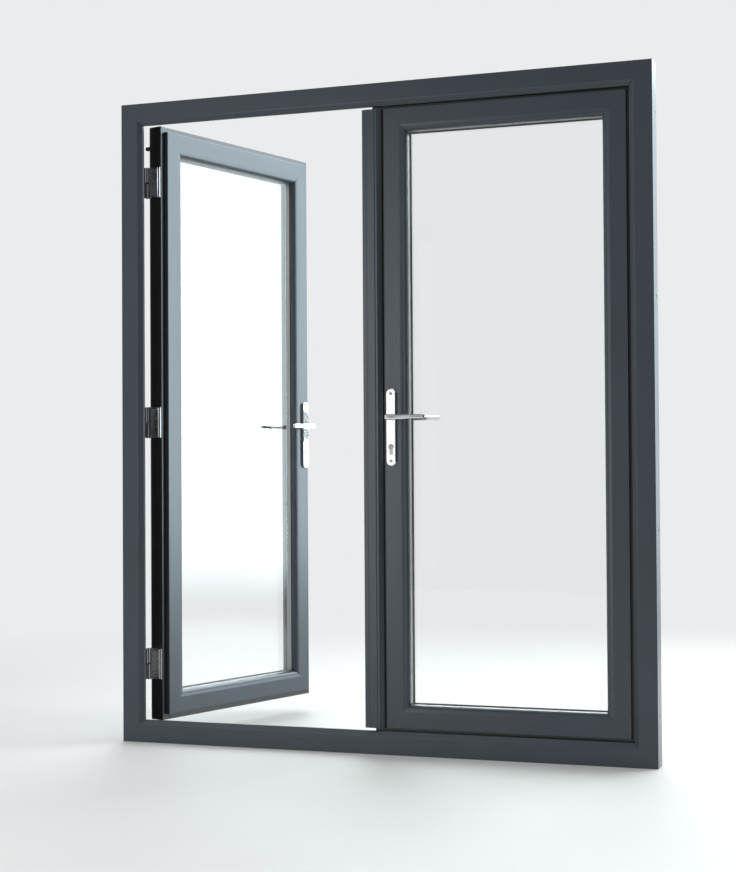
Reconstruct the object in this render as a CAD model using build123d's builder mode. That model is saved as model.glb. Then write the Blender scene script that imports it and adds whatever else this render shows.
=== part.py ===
"""Outward-opening french doors in their frame.

X runs to the right as seen from inside the room, Y points outdoors and Z is up.
The origin is the middle of the frame's underside, half way through its depth.
The left leaf is modelled standing open, and the right leaf closed.
"""
import os

from build123d import *

os.makedirs("parts", exist_ok=True)

# Overall sizes of the outer frame
FRAME_WIDTH = 1760.0
FRAME_HEIGHT = 2105.0
FRAME_DEPTH = 70.0

# Section of the outer frame: E runs inwards from its outer edge, D outdoors from its inside face
FRAME_FLAT = 57.0
SLOPE_WIDTH = 15.0
SLOPE_DEPTH = 13.0
UPSTAND_DEPTH = 20.0
REBATE_E = 48.5
FRAME_CORNER = 4.5
FIXING_HOLE_R = 4.0
FIXING_D = 45.0
FIXING_END = 150.0
FIXING_MIDDLE_SPACING = 700.0

# Section of a leaf
SHADOW_GAP = 9.0
FACE_RECESS = 13.0
LEAF_DEPTH = 72.0
STEP_DEPTH = 14.0
STILE_FLAT = 52.0
STILE_BEVEL = 10.0
STILE_BEVEL_DROP = 1.2
BEAD_WIDTH = 11.5
BEAD_STEP = 1.0
GLASS_SETBACK = 25.0
GLASS_BITE = 10.0
PANE = 4.0
GASKET = 3.0
OUTER_LIP = 16.0
GASKET_BITE = 5.5
GASKET_LIP = 2.5
OUTER_CHAMFER_E = 8.0
OUTER_CHAMFER_D = 9.0
SPACER_INSET = 1.5
SPACER_HEIGHT = 6.5
MEETING_GAP = 66.0
SEAL_CLEARANCE = 0.3

# Hinges
OPEN_ANGLE = 74.0
KNUCKLE_R = 7.25
AXIS_PROUD = 10.0
PLATE = 3.0
HINGE_PLATE_HEIGHT = 102.0
BAR_RAISE = 1.5
NEAR_BAR = (0.5, 11.0)
FAR_BAR = (14.0, 33.0)
PLATE_START = 2.0
KNUCKLE_HEIGHT = 98.0
KNUCKLE_SPLIT = 1.0
PIN_R = 4.0
PIN_FIT = 0.05
PIN_CAP = 2.5
HINGE_HEIGHTS = (248.5, 1051.5, 1854.0)

# Handles, lock and bolts
SPINDLE_HEIGHT = 1052.0
CYLINDER_DROP = 92.0
SCREW_SPACING = 211.0
BACKPLATE_HEIGHT = 243.0
BACKPLATE_WIDTH = 33.0
BACKPLATE_DEPTH = 9.0
BACKPLATE_BEVEL = 2.5
BACKPLATE_MIDDLE = 1021.0
HANDLE_SETBACK = 21.5
LEVER_REACH = 122.0
LEVER_STANDOFF = 40.0
LEVER_THICKNESS = 12.0
LEVER_ROOT_HEIGHT = 16.5
LEVER_TIP_HEIGHT = 13.0
LEVER_CORNER = 8.0
LEVER_THROAT = 4.0
LEVER_TIP_CUT = 3.0
LEVER_DRAFT = 1.0
LEVER_BEVEL = 2.0
NECK_R = 8.5
NECK_FIT = 0.08
NECK_START = 0.5
SPINDLE = 8.0
SOCKET_FIT = 0.1
SOCKET_DEPTH = 32.0
SCREW_R = 2.5
SCREW_HEAD_R = 4.6
SCREW_HEAD = 2.2
CYLINDER_R = 8.5
CYLINDER_WEB = 10.0
CYLINDER_TALL = 33.0
CYLINDER_FIT = 0.4
CASE_D = 41.0
CASE_THICK = 14.0
CASE_DEPTH = 54.0
CASE_LOW = 922.0
CASE_HIGH = 1118.0
FACEPLATE = 2.5
FACEPLATE_WIDTH = 16.0
FACEPLATE_END = 60.0
LATCH_HEIGHT = 1085.0
LATCH_SIZE = 18.0
LATCH_THICK = 11.0
LATCH_OUT = 12.0
LATCH_LENGTH = 22.0
DEADBOLT_HEIGHT = 1005.0
BOLT_SIZE = 28.0
BOLT_THICK = 8.0
BOLT_LENGTH = 28.0
BOLT_THROW = 20.0
HOOK_SPREAD = 650.0
BOLT_FIT = 0.3
SHOOT_R = 5.0
SHOOT_LENGTH = 150.0
SHOOT_THROW = 30.0
SHOOT_D = 55.0
KEEP_PLATE = 2.0
KEEP_LENGTH = 80.0
KEEP_WIDTH = 18.0
KEEP_CORNER = 3.0
KEEP_END = 45.0

# Floating mullion on the right leaf
MULLION_LIP = 4.0
MULLION_WEB = 23.0
MULLION_FACE_D = 6.0
MULLION_SHOULDER_D = 8.0
MULLION_BACK_D = 12.2
MULLION_GASKET = 4.0
STEM_LEFT = -26.0
BAND_LEFT = -22.0
BAND_RIGHT = 3.0
CAP = 3.0
CAP_CORNER = 3.0

# Sizes that follow from the ones above
INSIDE_Y = -FRAME_DEPTH / 2
UPSTAND_E = FRAME_FLAT + SLOPE_WIDTH
FACE_E = UPSTAND_E + SHADOW_GAP
LEAF_E = REBATE_E + 2 * KNUCKLE_R
LEDGE_D = FACE_RECESS + STEP_DEPTH
BACK_D = FACE_RECESS + LEAF_DEPTH
BEAD_E = FACE_E + STILE_FLAT + STILE_BEVEL
SIGHT_E = BEAD_E + BEAD_WIDTH
PANE_E = SIGHT_E - GLASS_BITE
GLASS_D = FACE_RECESS + GLASS_SETBACK
CAVITY = LEAF_DEPTH - GLASS_SETBACK - 2 * PANE - GASKET - OUTER_LIP
GLASS_BACK_D = GLASS_D + 2 * PANE + CAVITY
BEAD_D = FACE_RECESS + STILE_BEVEL_DROP + BEAD_STEP
AXIS_E = REBATE_E + KNUCKLE_R
AXIS_D = FRAME_DEPTH + AXIS_PROUD
MEETING_X = MEETING_GAP / 2
LEAF_EDGE_X = MEETING_X - (FACE_E - LEAF_E)
SPINDLE_X = MEETING_X + HANDLE_SETBACK
CASE_MIDDLE_D = FACE_RECESS + CASE_D
LOCK_E = LEAF_E + FACEPLATE
FACEPLATE_HEIGHT = FRAME_HEIGHT - 2 * (LEAF_E + FACEPLATE_END)
PLATE_D = LEDGE_D + PLATE_START
MULLION_STEM_D = LEDGE_D - MULLION_GASKET
CYLINDER_HEIGHT = SPINDLE_HEIGHT - CYLINDER_DROP
HOOK_HEIGHTS = (SPINDLE_HEIGHT - HOOK_SPREAD, SPINDLE_HEIGHT + HOOK_SPREAD)
SCREW_HEIGHTS = (BACKPLATE_MIDDLE - SCREW_SPACING / 2, BACKPLATE_MIDDLE + SCREW_SPACING / 2)
FIXING_HEIGHTS = (FIXING_END, (FRAME_HEIGHT - FIXING_MIDDLE_SPACING) / 2,
                  (FRAME_HEIGHT + FIXING_MIDDLE_SPACING) / 2, FRAME_HEIGHT - FIXING_END)
LEFT, RIGHT = -1, 1


def finish(piece, name, turn=None):
    """Label a finished piece, stand it in its modelled pose and write it."""
    part = piece.part if turn is None else piece.part.rotate(*turn)
    part.label = name
    export_step(part, f"parts/{name}.step")


def hinge_line(side):
    """The vertical axis that a leaf turns on."""
    return Axis((side * (FRAME_WIDTH / 2 - AXIS_E), INSIDE_Y + AXIS_D, 0), (0, 0, 1))


# The left leaf is drawn closed and then stood open
LEAF_TURN = {LEFT: (hinge_line(LEFT), OPEN_ANGLE), RIGHT: None}
LEAF_NAME = {LEFT: "left", RIGHT: "right"}


def ring_planes(x0, x1, z0, z1):
    """Section planes of a rectangular frame: local X runs inwards and local Y outdoors."""
    return {
        "left": (Plane((x0, INSIDE_Y, z0), (1, 0, 0), (0, 0, 1)), z1 - z0),
        "top": (Plane((x0, INSIDE_Y, z1), (0, 0, -1), (1, 0, 0)), x1 - x0),
        "right": (Plane((x1, INSIDE_Y, z1), (-1, 0, 0), (0, 0, -1)), z1 - z0),
        "bottom": (Plane((x1, INSIDE_Y, z0), (0, 0, 1), (-1, 0, 0)), x1 - x0),
    }


def leaf_limits(side):
    """The rectangle that a closed leaf's section is measured from, as left, right, low and high."""
    outer, lock = side * FRAME_WIDTH / 2, side * (MEETING_X - FACE_E)
    return min(outer, lock), max(outer, lock), 0, FRAME_HEIGHT


def level(side, height):
    """A horizontal plane at one jamb, with local X inwards and local Y outdoors."""
    return Plane((side * FRAME_WIDTH / 2, INSIDE_Y, height), (-side, 0, 0), (0, 0, -side))


def lock_edge(side, height):
    """A horizontal plane at a leaf's lock side, on the same terms."""
    return Plane((side * (MEETING_X - FACE_E), INSIDE_Y, height), (side, 0, 0), (0, 0, side))


def wall_plane(x, depth, z, outdoors=True):
    """An upright plane that faces outdoors or indoors, with local X to the right."""
    if outdoors:
        return Plane((x, INSIDE_Y + depth, z), (-1, 0, 0), (0, 1, 0))
    return Plane((x, INSIDE_Y + depth, z), (1, 0, 0), (0, -1, 0))


def round_corners(sketch, corners):
    """Fillet the corners of a section, each given as its place and radius."""
    for e, d, radius in corners:
        fillet(sketch.vertices().sort_by_distance((e, d, 0))[0], radius=radius)


def mitred_bar(plane, length, outline, corners=(), cuts=None):
    """A straight bar of one section, mitred at both ends, with any pockets cut in it."""
    with BuildPart() as bar:
        with BuildSketch(plane) as section:
            with BuildLine():
                outline()
            make_face()
            round_corners(section, corners)
        extrude(amount=length)
        end = plane.origin + plane.z_dir * length
        split(bisect_by=Plane(plane.origin, z_dir=plane.z_dir - plane.x_dir), keep=Keep.TOP)
        split(bisect_by=Plane(end, z_dir=plane.z_dir * -1 - plane.x_dir), keep=Keep.TOP)
        if cuts:
            cuts()
    return bar


def frame_outline():
    """The outer frame: a sculpted upstand indoors and a narrower leg outdoors."""
    Polyline((0, 0), (FRAME_FLAT, 0), (UPSTAND_E, SLOPE_DEPTH), (UPSTAND_E, UPSTAND_DEPTH),
             (REBATE_E, UPSTAND_DEPTH), (REBATE_E, FRAME_DEPTH - FRAME_CORNER),
             (REBATE_E - FRAME_CORNER, FRAME_DEPTH), (0, FRAME_DEPTH), close=True)


FRAME_ROUNDS = ((FRAME_FLAT, 0, 4.0), (UPSTAND_E, SLOPE_DEPTH, 1.6), (0, 0, 0.8))


def leaf_outline():
    """A stile or rail: a stepped edge, a faintly bevelled face and a rebate for the glass."""
    lip_d = GLASS_BACK_D + GASKET
    Polyline((FACE_E, FACE_RECESS), (FACE_E + STILE_FLAT, FACE_RECESS),
             (BEAD_E, FACE_RECESS + STILE_BEVEL_DROP), (BEAD_E, lip_d), (SIGHT_E, lip_d),
             (SIGHT_E, BACK_D - 5), (SIGHT_E - OUTER_CHAMFER_E, BACK_D),
             (LEAF_E + OUTER_CHAMFER_E, BACK_D), (LEAF_E, BACK_D - OUTER_CHAMFER_D),
             (LEAF_E, LEDGE_D), (FACE_E, LEDGE_D), close=True)


LEAF_ROUNDS = ((FACE_E, FACE_RECESS, 1.8), (SIGHT_E, BACK_D - 5, 2.0), (LEAF_E, LEDGE_D, 1.0))


def bead_outline():
    """A glazing bead with a convex face."""
    back_d = GLASS_D - GASKET
    shoulder = BEAD_E + 3
    nose_d = back_d - 3
    Line((BEAD_E, back_d), (BEAD_E, BEAD_D))
    Line((BEAD_E, BEAD_D), (shoulder, BEAD_D))
    middle = (shoulder + 0.72 * (SIGHT_E - shoulder), BEAD_D + 0.29 * (nose_d - BEAD_D))
    ThreePointArc((shoulder, BEAD_D), middle, (SIGHT_E, nose_d))
    Line((SIGHT_E, nose_d), (SIGHT_E, back_d))
    Line((SIGHT_E, back_d), (BEAD_E, back_d))


def ring(limits, low_e, high_e, low_d, high_d):
    """Add a rectangular ring of rectangular section to the current part."""
    x0, x1, z0, z1 = limits
    with BuildSketch(wall_plane((x0 + x1) / 2, low_d, (z0 + z1) / 2)) as outline:
        Rectangle(x1 - x0 - 2 * low_e, z1 - z0 - 2 * low_e)
        Rectangle(x1 - x0 - 2 * high_e, z1 - z0 - 2 * high_e, mode=Mode.SUBTRACT)
    extrude(outline.sketch, amount=high_d - low_d)


def block(plane, e_range, d_range, height, mode=Mode.ADD):
    """Add or cut a block that is centred on a horizontal plane of the current part."""
    with BuildSketch(plane) as outline:
        with Locations((sum(e_range) / 2, sum(d_range) / 2)):
            Rectangle(e_range[1] - e_range[0], d_range[1] - d_range[0])
    extrude(outline.sketch, amount=height / 2, both=True, mode=mode)


def drill(plane, radius, depth):
    """Drill a round hole in the current part."""
    with BuildSketch(plane) as mouth:
        Circle(radius)
    extrude(mouth.sketch, amount=depth, mode=Mode.SUBTRACT)


def euro_profile(clearance):
    """The keyhole-shaped section of a profile cylinder, its barrel at the sketch's origin."""
    web_bottom = CYLINDER_TALL - CYLINDER_R
    Circle(CYLINDER_R + clearance)
    with Locations((0, -web_bottom / 2)):
        Rectangle(CYLINDER_WEB + 2 * clearance, web_bottom + 2 * clearance)


def cut_keyhole(plane, depth):
    """Cut the way through for a profile cylinder in the current part."""
    with BuildSketch(plane) as mouth:
        euro_profile(CYLINDER_FIT)
    extrude(mouth.sketch, amount=depth, mode=Mode.SUBTRACT)


def about(middle, size):
    """The two ends of a span given by its middle and size."""
    return middle - size / 2, middle + size / 2


# Outer frame
FRAME_LIMITS = (-FRAME_WIDTH / 2, FRAME_WIDTH / 2, 0, FRAME_HEIGHT)
FRAME_MEMBERS = {"left": "frame_left_jamb", "right": "frame_right_jamb",
                 "top": "frame_head", "bottom": "frame_sill"}
WEB_MIDDLE = LEAF_EDGE_X - MULLION_WEB / 2
SHOOT_POCKET = SHOOT_THROW - (LEAF_E - REBATE_E) + 5


def frame_holes(place):
    """Fixing holes through a jamb, or the shootbolt's pocket in the head or the sill."""
    if place in ("left", "right"):
        side = LEFT if place == "left" else RIGHT
        for height in FIXING_HEIGHTS:
            outer_face = (side * FRAME_WIDTH / 2, INSIDE_Y + FIXING_D, height)
            drill(Plane(outer_face, (0, 1, 0), (-side, 0, 0)), FIXING_HOLE_R, REBATE_E)
    else:
        rebate_z = FRAME_HEIGHT - REBATE_E if place == "top" else REBATE_E
        up = 1 if place == "top" else -1
        mouth = (WEB_MIDDLE, INSIDE_Y + SHOOT_D, rebate_z)
        drill(Plane(mouth, (1, 0, 0), (0, 0, up)), SHOOT_R + 1, SHOOT_POCKET)


for place, (plane, length) in ring_planes(*FRAME_LIMITS).items():
    member = mitred_bar(plane, length, frame_outline, FRAME_ROUNDS, lambda: frame_holes(place))
    finish(member, FRAME_MEMBERS[place])

with BuildPart() as frame_gasket:
    ring(FRAME_LIMITS, LEAF_E + 1, UPSTAND_E - 2, UPSTAND_DEPTH, LEDGE_D - SEAL_CLEARANCE)
finish(frame_gasket, "frame_gasket")

# Keeps that the shootbolts enter, screwed to the head and the sill
with BuildPart() as shootbolt_keeps:
    for height, up in ((REBATE_E, 1), (FRAME_HEIGHT - REBATE_E, -1)):
        with BuildSketch(Plane((WEB_MIDDLE, INSIDE_Y + SHOOT_D, height), (1, 0, 0), (0, 0, up))):
            keep = Rectangle(KEEP_LENGTH, KEEP_WIDTH)
            chamfer(keep.vertices(), length=KEEP_CORNER)
            Circle(SHOOT_R + 1, mode=Mode.SUBTRACT)
        extrude(amount=KEEP_PLATE)
finish(shootbolt_keeps, "shootbolt_keeps")


def hinge_plates(side, on_frame):
    """Three hinge plates with their knuckles, in the part being built."""
    near_e = REBATE_E if on_frame else LEAF_E - PLATE
    knuckle_tall = (KNUCKLE_HEIGHT - KNUCKLE_SPLIT) / 2
    shift = (knuckle_tall + KNUCKLE_SPLIT) / 2
    for height in HINGE_HEIGHTS:
        knuckle = level(side, height - shift if on_frame else height + shift)
        arm_d = AXIS_D - KNUCKLE_R
        block(level(side, height), (near_e, near_e + PLATE), (PLATE_D, arm_d), HINGE_PLATE_HEIGHT)
        block(knuckle, (near_e, near_e + PLATE), (arm_d, AXIS_D), knuckle_tall)
        if not on_frame:
            for start, end in (NEAR_BAR, FAR_BAR):
                block(level(side, height), (near_e - BAR_RAISE, near_e),
                      (PLATE_D + start, PLATE_D + end), HINGE_PLATE_HEIGHT - 4)
        with BuildSketch(knuckle) as barrel:
            with Locations((AXIS_E, AXIS_D)):
                Circle(KNUCKLE_R)
        extrude(barrel.sketch, amount=knuckle_tall / 2, both=True)
        with BuildSketch(knuckle) as bore:
            with Locations((AXIS_E, AXIS_D)):
                Circle(PIN_R + PIN_FIT)
        extrude(bore.sketch, amount=knuckle_tall, both=True, mode=Mode.SUBTRACT)


with BuildPart() as hinge_frame_plates:
    for side in (LEFT, RIGHT):
        hinge_plates(side, on_frame=True)
finish(hinge_frame_plates, "hinge_frame_plates")

for side in (LEFT, RIGHT):
    with BuildPart() as hinge_leaf_plates:
        hinge_plates(side, on_frame=False)
    finish(hinge_leaf_plates, f"{LEAF_NAME[side]}_hinge_plates", LEAF_TURN[side])

# Hinge pins, each with a cap at both ends
with BuildPart() as hinge_pins:
    cap_z = KNUCKLE_HEIGHT / 2 + SEAL_CLEARANCE
    for side in (LEFT, RIGHT):
        axis = hinge_line(side)
        for height in HINGE_HEIGHTS:
            middle = (axis.position.X, axis.position.Y, height)
            with BuildSketch(Plane(middle, (1, 0, 0), (0, -1, 0))):
                with BuildLine():
                    Polyline((0, cap_z + PIN_CAP), (0, -cap_z - PIN_CAP),
                             (KNUCKLE_R, -cap_z - PIN_CAP), (KNUCKLE_R, -cap_z), (PIN_R, -cap_z),
                             (PIN_R, cap_z), (KNUCKLE_R, cap_z), (KNUCKLE_R, cap_z + PIN_CAP),
                             close=True)
                make_face()
            revolve(axis=axis)
finish(hinge_pins, "hinge_pins")


def lock_stile_cuts(side):
    """Pockets and holes that the lock, its bolts, the spindle and the cylinder need."""
    bolt_d = about(CASE_MIDDLE_D, BOLT_THICK + 2 * BOLT_FIT)
    if side == LEFT:
        block(lock_edge(side, FRAME_HEIGHT / 2), (LEAF_E - 1, LOCK_E),
              about(CASE_MIDDLE_D, FACEPLATE_WIDTH + 0.6), FACEPLATE_HEIGHT + 0.6, Mode.SUBTRACT)
        for height in HOOK_HEIGHTS:
            block(lock_edge(side, height), (LOCK_E - 1, LOCK_E + BOLT_LENGTH + 2), bolt_d,
                  BOLT_SIZE + 2 * BOLT_FIT, Mode.SUBTRACT)
    block(lock_edge(side, (CASE_LOW + CASE_HIGH) / 2), (LEAF_E - 1, LOCK_E + CASE_DEPTH + 0.5),
          about(CASE_MIDDLE_D, CASE_THICK + 0.6), CASE_HIGH - CASE_LOW + 0.6, Mode.SUBTRACT)
    through = BACK_D + 10
    drill(wall_plane(side * SPINDLE_X, 0, SPINDLE_HEIGHT), NECK_R - 1, through)
    cut_keyhole(wall_plane(side * SPINDLE_X, 0, CYLINDER_HEIGHT), through)
    for height in SCREW_HEIGHTS:
        drill(wall_plane(side * SPINDLE_X, 0, height), SCREW_R + 0.7, through)


# Stiles, rails, beads and sealed unit of both leaves
for side in (LEFT, RIGHT):
    leaf, turn = LEAF_NAME[side], LEAF_TURN[side]
    hinge_place = "left" if side == LEFT else "right"
    for place, (plane, length) in ring_planes(*leaf_limits(side)).items():
        if place in ("top", "bottom"):
            member_name, bead_name = f"{place}_rail", f"{place}_bead"
        elif place == hinge_place:
            member_name, bead_name = "hinge_stile", "hinge_side_bead"
        else:
            member_name, bead_name = "lock_stile", "lock_side_bead"
        cuts = (lambda: lock_stile_cuts(side)) if member_name == "lock_stile" else None
        member = mitred_bar(plane, length, leaf_outline, LEAF_ROUNDS, cuts)
        finish(member, f"{leaf}_{member_name}", turn)
        bead = mitred_bar(plane, length, bead_outline)
        finish(bead, f"{leaf}_{bead_name}", turn)

    x0, x1, z0, z1 = leaf_limits(side)
    for name, depth in (("inner_pane", GLASS_D), ("outer_pane", GLASS_BACK_D - PANE)):
        with BuildPart() as pane:
            with BuildSketch(wall_plane((x0 + x1) / 2, depth, (z0 + z1) / 2)):
                Rectangle(x1 - x0 - 2 * PANE_E, z1 - z0 - 2 * PANE_E)
            extrude(amount=PANE)
        finish(pane, f"{leaf}_{name}", turn)
    with BuildPart() as glass_spacer:
        ring(leaf_limits(side), PANE_E + SPACER_INSET, PANE_E + SPACER_INSET + SPACER_HEIGHT,
             GLASS_D + PANE, GLASS_BACK_D - PANE)
    finish(glass_spacer, f"{leaf}_glass_spacer", turn)
    with BuildPart() as glazing_gaskets:
        ring(leaf_limits(side), SIGHT_E - GASKET_BITE, SIGHT_E - 0.5, GLASS_D - GASKET, GLASS_D)
        ring(leaf_limits(side), SIGHT_E - GASKET_BITE, SIGHT_E + GASKET_LIP, GLASS_BACK_D,
             GLASS_BACK_D + GASKET)
    finish(glazing_gaskets, f"{leaf}_glazing_gaskets", turn)


def backplate(side, depth, outdoors):
    """A long backplate with rounded ends, a bearing for the lever and a keyhole."""
    spot = side * SPINDLE_X
    with BuildPart() as plate:
        with BuildSketch(wall_plane(spot, depth, BACKPLATE_MIDDLE, outdoors)):
            SlotOverall(BACKPLATE_HEIGHT, BACKPLATE_WIDTH, rotation=90)
        extrude(amount=BACKPLATE_DEPTH)
        chamfer(plate.faces().sort_by(Axis.Y)[-1 if outdoors else 0].edges(), length=BACKPLATE_BEVEL)
        drill(wall_plane(spot, depth, SPINDLE_HEIGHT, outdoors), NECK_R + NECK_FIT, BACKPLATE_DEPTH)
        cut_keyhole(wall_plane(spot, depth, CYLINDER_HEIGHT, outdoors), BACKPLATE_DEPTH)
        for height in SCREW_HEIGHTS:
            if outdoors:
                drill(wall_plane(spot, depth, height), SCREW_R + 0.3, 6)
            else:
                drill(wall_plane(spot, depth, height, False), SCREW_R + 0.3, BACKPLATE_DEPTH)
                drill(wall_plane(spot, depth - BACKPLATE_DEPTH + SCREW_HEAD + 0.3, height, False),
                      SCREW_HEAD_R + 0.4, SCREW_HEAD + 1)
    return plate


def lever(side, depth, outdoors):
    """A lever that comes straight out of its plate, turns the corner and tapers to its tip."""
    out = 1 if outdoors else -1
    spot = side * SPINDLE_X
    near, far = LEVER_STANDOFF, LEVER_STANDOFF + LEVER_THICKNESS
    middle_line = Plane((spot, INSIDE_Y + depth, SPINDLE_HEIGHT), (side, 0, 0), (0, 0, side * out))
    face = wall_plane(spot, depth, SPINDLE_HEIGHT, outdoors)
    tip, start = -side * out * LEVER_REACH, side * out * (NECK_R + 1)
    with BuildPart() as handle:
        with BuildSketch(middle_line):
            with BuildLine():
                back = Line((-NECK_R, near - LEVER_THROAT), (-NECK_R, far - LEVER_CORNER))
                corner = TangentArc(back @ 1, (LEVER_CORNER - NECK_R, far), tangent=(0, 1))
                tip_far, tip_near = far - LEVER_DRAFT, near + LEVER_DRAFT
                end = Polyline(corner @ 1, (LEVER_REACH - LEVER_TIP_CUT, tip_far),
                               (LEVER_REACH, tip_far - LEVER_TIP_CUT),
                               (LEVER_REACH, tip_near + LEVER_TIP_CUT),
                               (LEVER_REACH - LEVER_TIP_CUT, tip_near), (NECK_R + LEVER_THROAT, near))
                throat = TangentArc(end @ 1, (NECK_R, near - LEVER_THROAT), tangent=(-1, 0))
                Line(throat @ 1, back @ 0)
            make_face()
        extrude(amount=LEVER_ROOT_HEIGHT / 2, both=True)
        with BuildSketch(face):
            with BuildLine():
                Polyline((start, -LEVER_ROOT_HEIGHT / 2), (0, -LEVER_ROOT_HEIGHT / 2),
                         (tip, -LEVER_TIP_HEIGHT / 2), (tip, LEVER_TIP_HEIGHT / 2),
                         (0, LEVER_ROOT_HEIGHT / 2), (start, LEVER_ROOT_HEIGHT / 2), close=True)
            make_face()
        extrude(amount=far + 5, mode=Mode.INTERSECT)
        beyond_neck = [edge for edge in handle.edges()
                       if abs(edge.center().Y - face.origin.Y) > near - LEVER_THROAT + 0.1
                       and abs(edge.center().Z - SPINDLE_HEIGHT) > 1]
        chamfer(beyond_neck, length=LEVER_BEVEL)
        with BuildSketch(face.offset(NECK_START)):
            Circle(NECK_R)
        extrude(amount=near)
        with BuildSketch(face.offset(NECK_START)):
            Rectangle(SPINDLE + 2 * SOCKET_FIT, SPINDLE + 2 * SOCKET_FIT)
        extrude(amount=SOCKET_DEPTH, mode=Mode.SUBTRACT)
    return handle


# Handles, cylinders, screws and lock cases of both leaves
for side in (LEFT, RIGHT):
    leaf, turn = LEAF_NAME[side], LEAF_TURN[side]
    spot = side * SPINDLE_X
    for where, depth, outdoors in (("inside", FACE_RECESS, False), ("outside", BACK_D, True)):
        finish(backplate(side, depth, outdoors), f"{leaf}_{where}_backplate", turn)
        finish(lever(side, depth, outdoors), f"{leaf}_{where}_lever", turn)

    reach = NECK_START + SOCKET_DEPTH - 1
    with BuildPart() as spindle:
        with BuildSketch(wall_plane(spot, FACE_RECESS - reach, SPINDLE_HEIGHT)):
            Rectangle(SPINDLE, SPINDLE)
        extrude(amount=LEAF_DEPTH + 2 * reach)
    finish(spindle, f"{leaf}_spindle", turn)

    reach = BACKPLATE_DEPTH + 2
    with BuildPart() as cylinder:
        with BuildSketch(wall_plane(spot, FACE_RECESS - reach, CYLINDER_HEIGHT)):
            euro_profile(0)
        extrude(amount=LEAF_DEPTH + 2 * reach)
        for depth, outdoors in ((FACE_RECESS - reach, True), (BACK_D + reach, False)):
            with BuildSketch(wall_plane(spot, depth, CYLINDER_HEIGHT, outdoors)):
                Rectangle(1.6, 8)
            extrude(amount=4, mode=Mode.SUBTRACT)
    finish(cylinder, f"{leaf}_cylinder", turn)

    with BuildPart() as handle_screws:
        for height in SCREW_HEIGHTS:
            head = wall_plane(spot, FACE_RECESS - BACKPLATE_DEPTH + 0.3, height)
            with BuildSketch(head):
                Circle(SCREW_HEAD_R)
            extrude(amount=SCREW_HEAD)
            with BuildSketch(head):
                Circle(SCREW_R)
            extrude(amount=LEAF_DEPTH + BACKPLATE_DEPTH + 5)
    finish(handle_screws, f"{leaf}_handle_screws", turn)

    with BuildPart() as lock_case:
        front = LOCK_E if side == LEFT else LEAF_E
        block(lock_edge(side, (CASE_LOW + CASE_HIGH) / 2), (front + 0.2, LOCK_E + CASE_DEPTH),
              about(CASE_MIDDLE_D, CASE_THICK), CASE_HIGH - CASE_LOW)
        drill(wall_plane(spot, 0, SPINDLE_HEIGHT), SPINDLE * 0.72, BACK_D)
        cut_keyhole(wall_plane(spot, 0, CYLINDER_HEIGHT), BACK_D)
        if side == LEFT:
            block(lock_edge(side, LATCH_HEIGHT), (LEAF_E, LOCK_E + LATCH_LENGTH + LATCH_OUT + 2),
                  about(CASE_MIDDLE_D, LATCH_THICK + 0.6), LATCH_SIZE + 0.6, Mode.SUBTRACT)
            block(lock_edge(side, DEADBOLT_HEIGHT), (LEAF_E, LOCK_E + BOLT_LENGTH + 2),
                  about(CASE_MIDDLE_D, BOLT_THICK + 0.6), BOLT_SIZE + 0.6, Mode.SUBTRACT)
    finish(lock_case, f"{leaf}_lock_case", turn)

# Lock faceplate, latch and bolts of the left leaf
turn = LEAF_TURN[LEFT]
with BuildPart() as lock_faceplate:
    block(lock_edge(LEFT, FRAME_HEIGHT / 2), (LEAF_E, LOCK_E), about(CASE_MIDDLE_D, FACEPLATE_WIDTH),
          FACEPLATE_HEIGHT)
    block(lock_edge(LEFT, LATCH_HEIGHT), (LEAF_E - 1, LOCK_E + 1),
          about(CASE_MIDDLE_D, LATCH_THICK + 0.6), LATCH_SIZE + 0.6, Mode.SUBTRACT)
    for height in (DEADBOLT_HEIGHT, *HOOK_HEIGHTS):
        block(lock_edge(LEFT, height), (LEAF_E - 1, LOCK_E + 1),
              about(CASE_MIDDLE_D, BOLT_THICK + 0.6), BOLT_SIZE + 0.6, Mode.SUBTRACT)
finish(lock_faceplate, "left_lock_faceplate", turn)

with BuildPart() as latch:
    low, high = about(CASE_MIDDLE_D, LATCH_THICK)
    tip, tail = LEAF_E - LATCH_OUT, LOCK_E + LATCH_LENGTH
    with BuildSketch(lock_edge(LEFT, LATCH_HEIGHT)):
        with BuildLine():
            Polyline((tip, high), (tip, high - 2), (LEAF_E - 1, low), (tail, low), (tail, high),
                     close=True)
        make_face()
    extrude(amount=LATCH_SIZE / 2, both=True)
finish(latch, "left_latch", turn)

with BuildPart() as deadbolt:
    block(lock_edge(LEFT, DEADBOLT_HEIGHT), (LEAF_E + 0.5, LEAF_E + 0.5 + BOLT_LENGTH),
          about(CASE_MIDDLE_D, BOLT_THICK), BOLT_SIZE)
    fillet(deadbolt.edges().filter_by(Axis.Z), radius=1.0)
finish(deadbolt, "left_deadbolt", turn)

with BuildPart() as hook_bolts:
    for height in HOOK_HEIGHTS:
        corner = (-LEAF_EDGE_X - 0.5, INSIDE_Y + CASE_MIDDLE_D, height - BOLT_SIZE / 2)
        with BuildSketch(Plane(corner, (-1, 0, 0), (0, 1, 0))):
            with BuildLine():
                Polyline((0, 5), (9, 5), (9, BOLT_SIZE - 12), (0, BOLT_SIZE - 12), (0, BOLT_SIZE - 6),
                         (4, BOLT_SIZE), (BOLT_LENGTH, BOLT_SIZE), (BOLT_LENGTH, 0), (0, 0), close=True)
            make_face()
        extrude(amount=BOLT_THICK / 2, both=True)
finish(hook_bolts, "left_hook_bolts", turn)

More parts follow.
